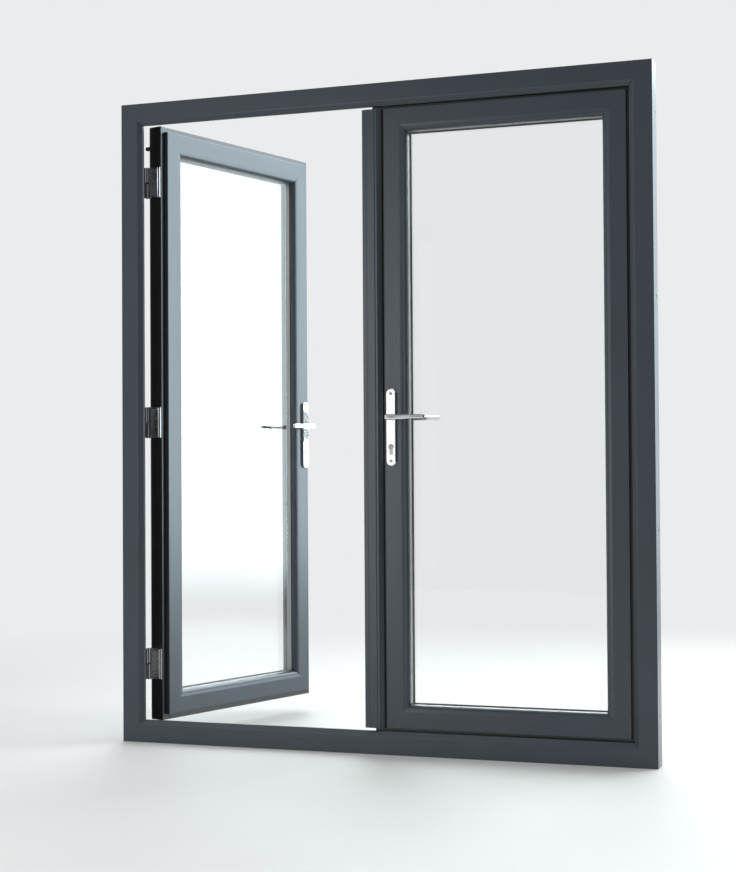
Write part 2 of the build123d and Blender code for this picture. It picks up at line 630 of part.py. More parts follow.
# Floating mullion on the right leaf, with its caps, gasket, keep and shootbolts
MULLION_LEFT = -MEETING_X - MULLION_LIP
MULLION_RIGHT = MEETING_X - SHADOW_GAP
WEB_RIGHT = LEAF_EDGE_X
WEB_LEFT = WEB_RIGHT - MULLION_WEB
WEB_BACK_D = BACK_D - OUTER_CHAMFER_D
POCKET_D = about(CASE_MIDDLE_D, 16)


def floor_plan(height):
    """A horizontal plane with local X along X and local Y outdoors."""
    return Plane((0, INSIDE_Y, height), (1, 0, 0), (0, 0, 1))


with BuildPart() as mullion:
    with BuildSketch(floor_plan(FACE_E)):
        with BuildLine():
            Polyline((MULLION_LEFT, MULLION_BACK_D), (MULLION_LEFT, MULLION_SHOULDER_D + 1),
                     (MULLION_LEFT + 2, MULLION_SHOULDER_D), (BAND_LEFT - 2, MULLION_SHOULDER_D),
                     (BAND_LEFT, MULLION_FACE_D), (BAND_RIGHT, MULLION_FACE_D),
                     (BAND_RIGHT + 2, MULLION_SHOULDER_D), (MULLION_RIGHT - 13, MULLION_SHOULDER_D),
                     (MULLION_RIGHT, MULLION_SHOULDER_D + 11), (MULLION_RIGHT, LEDGE_D),
                     (WEB_LEFT, LEDGE_D), (WEB_LEFT, MULLION_STEM_D), (STEM_LEFT, MULLION_STEM_D),
                     (STEM_LEFT, MULLION_BACK_D), close=True)
        make_face()
    extrude(amount=FRAME_HEIGHT - 2 * FACE_E)
    with BuildSketch(floor_plan(LEAF_E + CAP)):
        with BuildLine():
            Polyline((WEB_LEFT, LEDGE_D), (WEB_RIGHT, LEDGE_D), (WEB_RIGHT, WEB_BACK_D),
                     (WEB_RIGHT - 2, WEB_BACK_D + 4), (WEB_LEFT + 2, WEB_BACK_D + 4),
                     (WEB_LEFT, WEB_BACK_D), close=True)
        make_face()
    extrude(amount=FRAME_HEIGHT - 2 * (LEAF_E + CAP))
    block(floor_plan(LATCH_HEIGHT), (WEB_LEFT - 1, WEB_LEFT + 12), POCKET_D, LATCH_SIZE + 8,
          Mode.SUBTRACT)
    for height in (DEADBOLT_HEIGHT, *HOOK_HEIGHTS):
        block(floor_plan(height), (WEB_LEFT - 1, WEB_LEFT + 17), POCKET_D, BOLT_SIZE + 8, Mode.SUBTRACT)
    for height, up in ((LEAF_E, 1), (FRAME_HEIGHT - LEAF_E, -1)):
        bore = Plane((WEB_MIDDLE, INSIDE_Y + SHOOT_D, height), (1, 0, 0), (0, 0, up))
        drill(bore, SHOOT_R + BOLT_FIT, SHOOT_LENGTH + 5)
finish(mullion, "floating_mullion")

with BuildPart() as mullion_caps:
    for height in (LEAF_E + CAP / 2, FRAME_HEIGHT - LEAF_E - CAP / 2):
        with BuildSketch(floor_plan(height)):
            with Locations((WEB_MIDDLE, (LEDGE_D + WEB_BACK_D) / 2)):
                cap = Rectangle(MULLION_WEB - 1, WEB_BACK_D - LEDGE_D - 1)
            chamfer(cap.vertices(), length=CAP_CORNER)
            with Locations((WEB_MIDDLE, SHOOT_D)):
                Circle(SHOOT_R + BOLT_FIT, mode=Mode.SUBTRACT)
        extrude(amount=CAP / 2, both=True)
finish(mullion_caps, "mullion_end_caps")

with BuildPart() as mullion_gasket:
    block(floor_plan(FRAME_HEIGHT / 2), (STEM_LEFT + 1, STEM_LEFT + 7),
          (MULLION_STEM_D, LEDGE_D - SEAL_CLEARANCE), FRAME_HEIGHT - 2 * FACE_E)
finish(mullion_gasket, "mullion_gasket")

with BuildPart() as lock_keep:
    keep_low, keep_high = HOOK_HEIGHTS[0] - KEEP_END, HOOK_HEIGHTS[1] + KEEP_END
    block(floor_plan((keep_low + keep_high) / 2), (WEB_LEFT - KEEP_PLATE, WEB_LEFT),
          about(CASE_MIDDLE_D, 26), keep_high - keep_low)
    for height, tall in ((LATCH_HEIGHT, LATCH_SIZE), (DEADBOLT_HEIGHT, BOLT_SIZE),
                         (HOOK_HEIGHTS[0], BOLT_SIZE), (HOOK_HEIGHTS[1], BOLT_SIZE)):
        block(floor_plan(height), (WEB_LEFT - 3, WEB_LEFT + 1), about(CASE_MIDDLE_D, 14), tall + 6,
              Mode.SUBTRACT)
finish(lock_keep, "lock_keep")

for name, height, up in (("top_shootbolt", FRAME_HEIGHT - LEAF_E, -1), ("bottom_shootbolt", LEAF_E, 1)):
    with BuildPart() as shootbolt:
        with BuildSketch(Plane((WEB_MIDDLE, INSIDE_Y + SHOOT_D, height), (1, 0, 0), (0, 0, up))):
            Circle(SHOOT_R)
        extrude(amount=SHOOT_LENGTH)
        chamfer(shootbolt.faces().sort_by(Axis.Z)[-1 if up < 0 else 0].edges(), length=1.5)
    finish(shootbolt, name)
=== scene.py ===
"""Finishes, small fittings, studio and camera for a pair of french doors with their frame.

All sizes are in metres and stand in the doors' own frame: X runs to the right as seen from indoors,
Y points outdoors and Z is up. E is a distance inwards from a frame's outer edge, and D a distance
outdoors from the frame's inside face.
"""
import math

import bmesh
import bpy
from bpy.props import FloatProperty, FloatVectorProperty, PointerProperty
from mathutils import Matrix, Vector


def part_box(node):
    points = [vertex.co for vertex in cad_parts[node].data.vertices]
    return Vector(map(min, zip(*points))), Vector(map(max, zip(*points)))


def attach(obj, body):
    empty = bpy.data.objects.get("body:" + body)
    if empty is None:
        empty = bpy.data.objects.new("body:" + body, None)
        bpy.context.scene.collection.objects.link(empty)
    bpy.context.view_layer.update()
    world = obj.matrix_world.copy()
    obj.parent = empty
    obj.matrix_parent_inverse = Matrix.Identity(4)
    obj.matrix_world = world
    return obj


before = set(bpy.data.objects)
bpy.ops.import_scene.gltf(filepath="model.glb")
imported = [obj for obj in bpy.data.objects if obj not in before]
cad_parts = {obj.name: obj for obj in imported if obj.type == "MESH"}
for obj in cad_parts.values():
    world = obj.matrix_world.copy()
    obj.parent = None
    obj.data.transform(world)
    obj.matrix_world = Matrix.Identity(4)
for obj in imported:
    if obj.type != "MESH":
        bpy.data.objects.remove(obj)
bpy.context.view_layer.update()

bl_info = {
    "name": "French Doors Finisher",
    "version": (1, 0, 0),
    "blender": (4, 5, 0),
    "location": "3D View > Sidebar > Doors",
    "description": "Finishes, small fittings and a studio for a pair of french doors",
    "category": "Object",
}

LEFT, RIGHT = -1, 1
NAMES = {LEFT: "left", RIGHT: "right"}

# The outer frame
HEAD_LOW, HEAD_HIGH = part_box("frame_head")
WIDTH = HEAD_HIGH.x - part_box("frame_left_jamb")[0].x
HEIGHT = HEAD_HIGH.z
INSIDE_Y = HEAD_LOW.y
FRAME_DEPTH = HEAD_HIGH.y - INSIDE_Y
REBATE_E = 0.0485
UPSTAND_E, UPSTAND_D = 0.072, 0.020
END_FIXING, FIXING_PITCH = 0.150, 0.7

# The leaves, each with the middle and half the width of the rectangle that its mitres run from
LEAF_E = 0.063
FACE_E = 0.081
FACE_D, BACK_D = 0.013, 0.085
MEETING_HALF = 0.033
LEAF_MIDDLE = (WIDTH / 2 - FACE_E + MEETING_HALF) / 2
LEAF_HALF = (WIDTH / 2 + FACE_E - MEETING_HALF) / 2

# The hinges, and the turn that opens the left leaf
AXIS_E, AXIS_D = 0.05575, 0.080
HINGE_HEIGHTS = (0.2485, 1.0515, 1.854)
HINGE_PLATE = 0.003
KNUCKLE_R = 0.00725
LEFT_AXIS = Vector((-WIDTH / 2 + AXIS_E, INSIDE_Y + AXIS_D, 0))
OPEN_ANGLE = math.radians(74)
LEAF_OPEN = (Matrix.Translation(LEFT_AXIS) @ Matrix.Rotation(OPEN_ANGLE, 4, "Z")
             @ Matrix.Translation(-LEFT_AXIS))

# The lock, the keeps and the handles
LOCK_Y = INSIDE_Y + 0.054
LOCK_FACE_X, KEEP_FACE_X = -0.015, -0.010
WEB_MIDDLE_X, SHOOTBOLT_Y = 0.0035, INSIDE_Y + 0.055
SHOOTBOLT_KEEP = 0.002
SPINDLE_X, SPINDLE_Z, CYLINDER_Z = 0.0545, 1.052, 0.960
BACKPLATE_SCREW_HEIGHTS = (0.9155, 1.1265)

# Edges that turn by more than this are rounded, and any that are left stay sharp in shading
SHARP_ANGLE = math.radians(35)

# What the sky cards above, far off and at the side share
SKY = {"tint": (0.9, 0.97, 1), "edge": 0.83}


class DoorColours(bpy.types.PropertyGroup):
    """Colours of the doors' finishes."""

    profile: FloatVectorProperty(name="Profile", description="Foil on the frame and the leaves",
                                 subtype="COLOR", size=3, min=0, max=1, default=(0.028, 0.041, 0.053))
    # Near-black unfoiled plastic, also painted shade in the rebates and on the leaf edges
    core_and_painted_shade: FloatVectorProperty(name="Profile core", description="Plain plastic in the rebates",
                                      subtype="COLOR", size=3, min=0, max=1,
                                      default=(0.010, 0.010, 0.011))
    seal: FloatVectorProperty(name="Seals", description="Weather seals and glazing gaskets",
                              subtype="COLOR", size=3, min=0, max=1, default=(0.012, 0.012, 0.012))
    spacer: FloatVectorProperty(name="Spacer bar", description="Metal spacer between the panes",
                                subtype="COLOR", size=3, min=0, max=1, default=(0.52, 0.53, 0.54))
    glass: FloatVectorProperty(name="Glass", description="Tint of one pane",
                               subtype="COLOR", size=3, min=0, max=1, default=(0.978, 0.985, 0.982))
    polished: FloatVectorProperty(name="Polished chrome", description="Levers and backplates",
                                  subtype="COLOR", size=3, min=0, max=1, default=(0.87, 0.87, 0.875))
    satin: FloatVectorProperty(name="Satin steel", description="Hinges",
                               subtype="COLOR", size=3, min=0, max=1, default=(0.42, 0.42, 0.43))
    zinc: FloatVectorProperty(name="Plated steel", description="Lock faceplate, keeps and bolts",
                              subtype="COLOR", size=3, min=0, max=1, default=(0.58, 0.58, 0.57))


class StudioSettings(bpy.types.PropertyGroup):
    """Camera, lamps and background."""

    eye: FloatVectorProperty(name="Eye", description="Where the camera stands", subtype="TRANSLATION",
                             unit="LENGTH", size=3, default=(1.667, -4.898, 0.875))
    yaw: FloatProperty(name="Yaw", description="Turn of the view to the left of straight on",
                       unit="ROTATION", default=math.radians(19.13))
    pitch: FloatProperty(name="Pitch", description="Upward tilt of the view", unit="ROTATION",
                         default=math.radians(1.11))
    roll: FloatProperty(name="Roll", description="Lean of the camera", unit="ROTATION",
                        default=math.radians(-0.35))
    focal: FloatProperty(name="Focal length", description="Focal length for a 36 mm long side",
                         unit="CAMERA", default=67.75)
    rise: FloatProperty(name="Rise", description="Upward shift of the lens, as a share of the long side",
                        default=0.0073)
    background: FloatVectorProperty(name="Background", description="Colour behind the doors",
                                    subtype="COLOR", size=3, min=0, max=1, default=(0.83, 0.84, 0.85))
    floor: FloatVectorProperty(name="Floor", description="Colour of the floor", subtype="COLOR", size=3,
                               min=0, max=1, default=(0.72, 0.71, 0.70))
    sky_level: FloatProperty(name="Sky level", description="Strength of the even light all round",
                             min=0, default=0.62)
    key_power: FloatProperty(name="Key lamp", unit="POWER", min=0, default=60,
                             description="Power of the soft lamp indoors, high on the left")
    strip_power: FloatProperty(name="Strip lamp", unit="POWER", min=0, default=19,
                               description="Power of the tall lamp that the mullion reflects")
    daylight_power: FloatProperty(name="Daylight lamp", unit="POWER", min=0, default=150,
                                  description="Power of the lamp outdoors, on the right")
    sky_card: FloatProperty(name="Sky card", min=0, default=6.4,
                            description="Brightness of the graded card that the open leaf reflects")


class Signal:
    """A node's output. Python's arithmetic on it adds Math nodes."""

    def __init__(self, paint, socket):
        self.paint, self.socket = paint, socket

    def output(self, name):
        """Another output of the same node."""
        return Signal(self.paint, self.socket.node.outputs[name])

    def __add__(self, other):
        return self.paint.math("ADD", self, other)

    def __sub__(self, other):
        return self.paint.math("SUBTRACT", self, other)

    def __rsub__(self, other):
        return self.paint.math("SUBTRACT", other, self)

    def __mul__(self, other):
        return self.paint.math("MULTIPLY", self, other)

    def __abs__(self):
        return self.paint.math("ABSOLUTE", self)


class Paint:
    """A node tree that is filled from empty: a material's or the world's."""

    def __init__(self, owner):
        owner.use_nodes = True
        self.owner = owner
        self.tree = owner.node_tree
        self.tree.nodes.clear()

    def node(self, kind, settings=None, inputs=None, output=0):
        """Add a node, apply its settings, then fill its sockets, and give one of its outputs."""
        made = self.tree.nodes.new(kind)
        for key, value in (settings or {}).items():
            setattr(made, key, value)
        for key, value in (inputs or {}).items():
            if isinstance(value, Signal):
                self.tree.links.new(value.socket, made.inputs[key])
            else:
                made.inputs[key].default_value = value
        return Signal(self, made.outputs[output]) if made.outputs else None

    def math(self, operation, *values):
        return self.node("ShaderNodeMath", {"operation": operation}, dict(enumerate(values)))

    def step(self, value, low, high):
        """Rises smoothly from 0 at low to 1 at high, or falls if low is the larger."""
        return self.node("ShaderNodeMapRange", {"interpolation_type": "SMOOTHSTEP"},
                         {"Value": value, "From Min": low, "From Max": high})

    def spread(self, value, low, high):
        """A 0 to 1 signal, spread evenly between two values."""
        return self.node("ShaderNodeMapRange", None, {"Value": value, "To Min": low, "To Max": high})

    def mix(self, factor, first, second):
        """Two colours, mixed. The node's sockets share names, so they are told apart by number."""
        first, second = ((*c, 1) if isinstance(c, tuple) and len(c) == 3 else c for c in (first, second))
        return self.node("ShaderNodeMix", {"data_type": "RGBA"}, {0: factor, 6: first, 7: second}, output=2)

    def place(self, turned=False):
        """Object coordinates, with the left leaf's turned back to where it stands closed."""
        here = self.node("ShaderNodeTexCoord", output="Object")
        if not turned:
            return here
        back = Matrix.Rotation(-OPEN_ANGLE, 3, "Z")
        shift = LEFT_AXIS - back @ LEFT_AXIS
        return self.node("ShaderNodeMapping", {"vector_type": "POINT"},
                         {"Vector": here, "Location": shift, "Rotation": (0, 0, -OPEN_ANGLE)})

    def split(self, vector):
        """A vector's X, Y and Z."""
        x = self.node("ShaderNodeSeparateXYZ", None, {"Vector": vector}, output="X")
        return x, x.output("Y"), x.output("Z")

    def stretch(self, vector, scale):
        return self.node("ShaderNodeVectorMath", {"operation": "MULTIPLY"}, {0: vector, 1: scale})

    def noise(self, vector, scale, detail, roughness):
        return self.node("ShaderNodeTexNoise", None,
                         {"Vector": vector, "Scale": scale, "Detail": detail, "Roughness": roughness})

    def bump(self, height, distance):
        return self.node("ShaderNodeBump", None,
                         {"Height": height, "Distance": distance, "Strength": 1.0}, output="Normal")

    def surface(self, inputs):
        return self.node("ShaderNodeBsdfPrincipled", None, inputs)

    def done(self, shader):
        """Show a shader, and give the material or the world."""
        kind = "World" if isinstance(self.owner, bpy.types.World) else "Material"
        self.node(f"ShaderNodeOutput{kind}", None, {"Surface": shader})
        return self.owner


def colour(name):
    """One of the colours that the user may change."""
    return tuple(getattr(bpy.context.scene.door_colours, name))


def shade(base, share):
    """A colour made darker or lighter."""
    return tuple(share * c for c in base)


def edge_distances(paint, here, middle, half_width):
    """How far a point is in from the nearest side and end of a rectangular frame, and its depth."""
    x, y, z = paint.split(here)
    return half_width - abs(x - middle), HEIGHT / 2 - abs(z - HEIGHT / 2), y - INSIDE_Y


def paint_profile(name, turned, upright, ring, core):
    """Satin foil with a fine grain along the member, a mitre line and near-black plastic, partly painted
    shade.

    The ring is the middle and half the width of the rectangle that the mitres run from. The core holds
    the depths and distances inwards of the near-black unfoiled plastic, partly painted shade in rebates and
    leaf edges.
    """
    paint = Paint(bpy.data.materials.new(name))
    here = paint.place(turned)
    along = (1, 1, 0.035) if upright else (0.035, 1, 1)
    grain = paint.noise(paint.stretch(here, along), 900, 3, 0.6)
    cloud = paint.noise(here, 2.6, 3, 0.55)
    rub = paint.noise(paint.stretch(here, along), 60, 2, 0.5)
    foil = colour("profile")
    tint = paint.mix(paint.step(cloud, 0.3, 0.7), shade(foil, 0.94), shade(foil, 1.07))
    tint = paint.mix(paint.step(grain, 0.42, 0.62) * 0.10, tint, (0.012, 0.015, 0.018))
    height = grain * 0.6
    gloss = paint.spread(rub, 0.24, 0.36)
    if ring:
        side, end, depth = edge_distances(paint, here, *ring)
        groove = paint.step(abs(side - end), 0.0011, 0.0002)
        tint = paint.mix(groove * 0.55, tint, (0.008, 0.010, 0.012))
        height = height - groove * 6
        low_d, high_d, low_e, high_e = core
        inner = paint.math("MINIMUM", side, end)
        # Unfoiled plastic in the rebates and on the leaf edges, made near black partly as painted shade
        unfoiled_or_shaded = (paint.step(depth, low_d - 0.0004, low_d + 0.0002)
                * paint.step(depth, high_d + 0.0002, high_d - 0.0004)
                * paint.step(inner, low_e - 0.0006, low_e)
                * paint.step(inner, high_e, high_e - 0.0006))
        tint = paint.mix(unfoiled_or_shaded, tint, colour("core_and_painted_shade"))
    normal = paint.bump(height, 0.00004)
    return paint.done(paint.surface({"Base Color": tint, "Roughness": gloss, "Normal": normal, "IOR": 1.6}))


def paint_glass(turned):
    """Clear float glass that lamps shine through, very slightly wavy."""
    paint = Paint(bpy.data.materials.new("clear_glass" + ("_left" if turned else "_right")))
    here = paint.place(turned)
    wave = paint.noise(here, 2.2, 1, 0.4)
    normal = paint.bump(wave, 0.0012)
    pane = paint.surface({"Base Color": (*colour("glass"), 1), "Roughness": 0.0,
                          "IOR": 1.5, "Transmission Weight": 1.0, "Normal": normal})
    path = paint.node("ShaderNodeLightPath", output="Is Shadow Ray")
    clear = paint.node("ShaderNodeBsdfTransparent", None, {"Color": (0.93, 0.95, 0.94, 1)})
    passing = paint.math("MAXIMUM", path, path.output("Is Diffuse Ray"))
    return paint.done(paint.node("ShaderNodeMixShader", None, {0: passing, 1: pane, 2: clear}))


def paint_seal():
    """Black rubber, matt, with a bloom of fine dust."""
    paint = Paint(bpy.data.materials.new("black_seal"))
    here = paint.place()
    fine = paint.noise(here, 700, 3, 0.6)
    dust = paint.noise(here, 38, 4, 0.65)
    base = colour("seal")
    tint = paint.mix(paint.step(dust, 0.45, 0.8) * 0.5, base, shade(base, 2.4))
    return paint.done(paint.surface({"Base Color": tint, "Roughness": paint.spread(dust, 0.55, 0.8),
                                     "Normal": paint.bump(fine, 0.00005)}))


def paint_spacer(turned):
    """Bright spacer bar with two rows of fine breathing holes, darkened as painted shade."""
    paint = Paint(bpy.data.materials.new("spacer_bar" + ("_left" if turned else "_right")))
    here = paint.place(turned)
    x, y, z = paint.split(here)
    middle_d, row_shift, pitch, hole = 0.052, 0.0035, 0.004, 0.0006
    run = paint.math("PINGPONG", x + z, pitch / 2)
    row = abs(abs(y - INSIDE_Y - middle_d) - row_shift)
    far = paint.math("SQRT", run * run + row * row)
    # The breathing holes, darkened as painted shade
    dot = paint.step(far, hole, hole * 0.6)
    brushed = paint.noise(paint.stretch(here, (1, 1, 0.02)), 800, 2, 0.5)
    tint = paint.mix(dot, colour("spacer"), (0.06, 0.06, 0.06))
    return paint.done(paint.surface({"Base Color": tint, "Metallic": 0.85,
                                     "Roughness": paint.spread(brushed, 0.32, 0.5),
                                     "Normal": paint.bump(brushed - dot * 4, 0.00006)}))


def paint_metal(name, base, rough, smooth, grain_scale=(1, 1, 1), smudge=0.12, depth=0.00001,
                bushes=False, crown=0):
    """Metal with a faint grain and finger marks, black bushes in hinges and a rounded look on levers."""
    paint = Paint(bpy.data.materials.new(name))
    here = paint.place()
    grain = paint.noise(paint.stretch(here, grain_scale), 1100, 2, 0.6)
    marks = paint.noise(here, 95, 4, 0.6)
    smear = paint.step(marks, 0.5, 0.75)
    tint = paint.mix(smear * 0.35, base, shade(base, 0.86))
    gloss = paint.spread(grain, rough, smooth) + smear * smudge
    metallic = 1.0
    if bushes:
        x, y, z = paint.split(here)
        out = abs(x) - (WIDTH / 2 - AXIS_E)
        back = y - LEFT_AXIS.y
        far = paint.math("SQRT", out * out + back * back)
        rise = [abs(z - height) for height in HINGE_HEIGHTS]
        rise = paint.math("MINIMUM", paint.math("MINIMUM", rise[0], rise[1]), rise[2])
        bush = paint.step(far, KNUCKLE_R + 0.0009, KNUCKLE_R + 0.0006) * paint.step(rise, 0.0030, 0.0027)
        tint = paint.mix(bush, tint, (0.012, 0.012, 0.012))
        metallic = 1 - bush
    height = grain * depth
    if crown:
        level = paint.split(here)[2] - SPINDLE_Z
        height = height - level * level * crown
    return paint.done(paint.surface({"Base Color": tint, "Metallic": metallic, "Roughness": gloss,
                                     "Normal": paint.bump(height, 1.0)}))


def from_spindle(paint, here, turned):
    """How far a point of a closed leaf is to the right of its spindle, and its height."""
    x, _, z = paint.split(here)
    return x - (-SPINDLE_X if turned else SPINDLE_X), z


def paint_cylinder(name, base):
    """A key cylinder whose plug has a dark groove round it and an upright keyway darkened as painted shade.
    """
    paint = Paint(bpy.data.materials.new(name))
    turned = name.endswith("left")
    here = paint.place(turned)
    across, level = from_spindle(paint, here, turned)
    rise = level - CYLINDER_Z
    far = paint.math("SQRT", across * across + rise * rise)
    plug_r = 0.0066
    ring = paint.step(abs(far - plug_r), 0.0007, 0.0003)
    keyway = paint.step(abs(across), 0.0010, 0.0007) * paint.step(abs(rise), 0.0050, 0.0046)
    # The groove round the plug is a dark joint; the keyway's darkness is painted shade.
    dark = paint.math("MAXIMUM", ring * 0.8, keyway)
    grain = paint.noise(here, 900, 2, 0.5)
    tint = paint.mix(dark, base, shade(base, 0.06))
    return paint.done(paint.surface({"Base Color": tint, "Metallic": 1 - dark * 0.6,
                                     "Roughness": paint.spread(grain, 0.22, 0.34),
                                     "Normal": paint.bump(grain * 0.2 - dark * 8, 0.00008)}))


def paint_screw(name, base):
    """Backplate screws whose heads have a cross recess, darkened as painted shade."""
    paint = Paint(bpy.data.materials.new(name))
    turned = name.endswith("left")
    here = paint.place(turned)
    across, level = from_spindle(paint, here, turned)
    across = abs(across)
    rise = paint.math("MINIMUM", *(abs(level - height) for height in BACKPLATE_SCREW_HEIGHTS))
    slot = paint.math("MINIMUM", across, rise)
    reach = paint.math("MAXIMUM", across, rise)
    # The cross recess, darkened as painted shade inside it
    cross = paint.step(slot, 0.0007, 0.0005) * paint.step(reach, 0.0027, 0.0023)
    grain = paint.noise(here, 900, 2, 0.5)
    tint = paint.mix(cross, base, shade(base, 0.08))
    return paint.done(paint.surface({"Base Color": tint, "Metallic": 1 - cross * 0.6,
                                     "Roughness": paint.spread(grain, 0.3, 0.45),
                                     "Normal": paint.bump(grain * 0.2 - cross * 8, 0.00008)}))


def paint_plastic():
    """Moulded black plastic with a spark-eroded skin."""
    paint = Paint(bpy.data.materials.new("moulded_plastic"))
    here = paint.place()
    skin = paint.noise(here, 1600, 2, 0.5)
    tint = paint.mix(skin * 0.3, (0.016, 0.016, 0.017), (0.03, 0.03, 0.031))
    return paint.done(paint.surface({"Base Color": tint, "Roughness": paint.spread(skin, 0.42, 0.6),
                                     "Normal": paint.bump(skin, 0.00003)}))


def assign(material, names):
    """Give CAD nodes a better material, in every one of their slots."""
    for name in names:
        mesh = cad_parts[name].data
        for index in range(len(mesh.materials)):
            mesh.materials[index] = material


def leaf_nodes(side, *endings):
    return [f"{NAMES[side]}_{ending}" for ending in endings]


def start(add, name, **settings):
    """Add a primitive by itself and open it for editing."""
    bpy.ops.object.select_all(action="DESELECT")
    add(**settings)
    piece = bpy.context.object
    piece.name = piece.data.name = name
    bpy.ops.object.transform_apply(location=True, rotation=True, scale=True)
    bpy.ops.object.mode_set(mode="EDIT")
    return piece


def start_block(name, wide, tall, proud):
    """Open a cube of a given size that stands on the XY plane."""
    start(bpy.ops.mesh.primitive_cube_add, name, size=1, location=(0, 0, proud / 2),
          scale=(wide, tall, proud))


def select_faces(test):
    """Select only the open piece's faces whose middle and normal pass a test."""
    bpy.ops.mesh.select_mode(type="FACE")
    bpy.ops.mesh.select_all(action="DESELECT")
    mesh = bpy.context.object.data
    form = bmesh.from_edit_mesh(mesh)
    for face in form.faces:
        face.select_set(test(face.calc_center_median(), face.normal))
    bmesh.update_edit_mesh(mesh)


def select_top():
    """Select only the open piece's top."""
    select_faces(lambda middle, normal: normal.z > 0.9)


def close(rounding, segments=2):
    """Leave edit mode, round the sharp edges and shade the piece."""
    bpy.ops.object.mode_set(mode="OBJECT")
    piece = bpy.context.object
    edge = piece.modifiers.new("Rounded edges", "BEVEL")
    edge.width, edge.segments = rounding, segments
    edge.limit_method, edge.angle_limit = "ANGLE", SHARP_ANGLE
    bpy.ops.object.modifier_apply(modifier=edge.name)
    bpy.ops.object.shade_smooth_by_angle(angle=SHARP_ANGLE)
    return piece


def cut(piece, cutter):
    """Cut one piece with another, which goes."""
    bpy.ops.object.select_all(action="DESELECT")
    bpy.context.view_layer.objects.active = piece
    recess = piece.modifiers.new("Recess", "BOOLEAN")
    recess.operation, recess.solver, recess.object = "DIFFERENCE", "EXACT", cutter
    bpy.ops.object.modifier_apply(modifier=recess.name)
    bpy.data.objects.remove(cutter)
    bpy.ops.object.shade_smooth_by_angle(angle=SHARP_ANGLE)


def jamb_point(side, e, d, z):
    """A point measured inwards from one side of the frame and outdoors from its inside face."""
    return Vector((side * (WIDTH / 2 - e), INSIDE_Y + d, z))


def seat(point, outward, opened=False):
    """Where a piece stands on a surface, its local Z outwards and its local Y up or outdoors."""
    outward = Vector(outward)
    up = Vector((0, 1, 0)) if abs(outward.z) > 0.9 else Vector((0, 0, 1))
    stand = Matrix((up.cross(outward), up, outward)).transposed().to_4x4()
    stand = Matrix.Translation(point) @ stand
    return LEAF_OPEN @ stand if opened else stand


def repeat(model, name, body, material, places):
    """Copy a model to its places, and let each copy ride on a body."""
    for index, place in enumerate(places, 1):
        bpy.ops.object.select_all(action="DESELECT")
        model.select_set(True)
        bpy.context.view_layer.objects.active = model
        bpy.ops.object.duplicate()
        piece = bpy.context.object
        piece.matrix_world = place
        bpy.ops.object.transform_apply(location=True, rotation=True, scale=True)
        piece.name = piece.data.name = f"{name}_{index:02d}"
        piece.data.materials.clear()
        piece.data.materials.append(material)
        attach(piece, body)


def model_hinge_cover():
    """A drafted cover with a sunk panel."""
    start_block("hinge_cover", 0.037, 0.098, 0.0072)
    select_top()
    bpy.ops.transform.resize(value=(0.966, 0.99, 1))
    bpy.ops.mesh.inset(thickness=0.0042)
    bpy.ops.mesh.inset(thickness=0.0007, depth=-0.0009)
    return close(0.0007, 3)


def model_screw_head():
    """A low head with a cross recess."""
    start(bpy.ops.mesh.primitive_cylinder_add, "screw_head", vertices=28, radius=0.0033, depth=0.0009,
          location=(0, 0, 0.00035))
    select_top()
    bpy.ops.mesh.inset(thickness=0.0008)
    bpy.ops.transform.translate(value=(0, 0, 0.0002))
    head = close(0.00012, 1)
    for turn in (0, math.pi / 2):
        bar = start(bpy.ops.mesh.primitive_cube_add, "cross_cutter", size=1, location=(0, 0, 0.0009),
                    scale=(0.0034, 0.0007, 0.0012), rotation=(0, 0, turn))
        bpy.ops.object.mode_set(mode="OBJECT")
        cut(head, bar)
    return head


def model_hinge_side_block():
    """A drafted block with a sunk end."""
    start_block("block", 0.0305, 0.0128, 0.012)
    select_top()
    bpy.ops.transform.resize(value=(0.98, 0.88, 1))
    bpy.ops.mesh.inset(thickness=0.0016)
    bpy.ops.mesh.inset(thickness=0.0005, depth=-0.0008)
    return close(0.0006)


def model_fixing_cap():
    """A domed round cap."""
    start(bpy.ops.mesh.primitive_cylinder_add, "cap", vertices=32, radius=0.0068, depth=0.0016,
          location=(0, 0, 0.0008))
    select_top()
    for step_in, step_up in ((0.0014, 0.0006), (0.0022, 0.0002)):
        bpy.ops.mesh.inset(thickness=step_in)
        bpy.ops.transform.translate(value=(0, 0, step_up))
    return close(0.0003)


def model_drain_cover():
    """A hood that is open underneath."""
    start_block("drain_cover", 0.046, 0.013, 0.0044)
    select_top()
    bpy.ops.transform.resize(value=(0.93, 0.7, 1))
    select_faces(lambda middle, normal: normal.y < -0.6)
    bpy.ops.mesh.inset(thickness=0.0009)
    bpy.ops.mesh.extrude_region_move(TRANSFORM_OT_translate={"value": (0, 0.006, 0)})
    return close(0.0005)


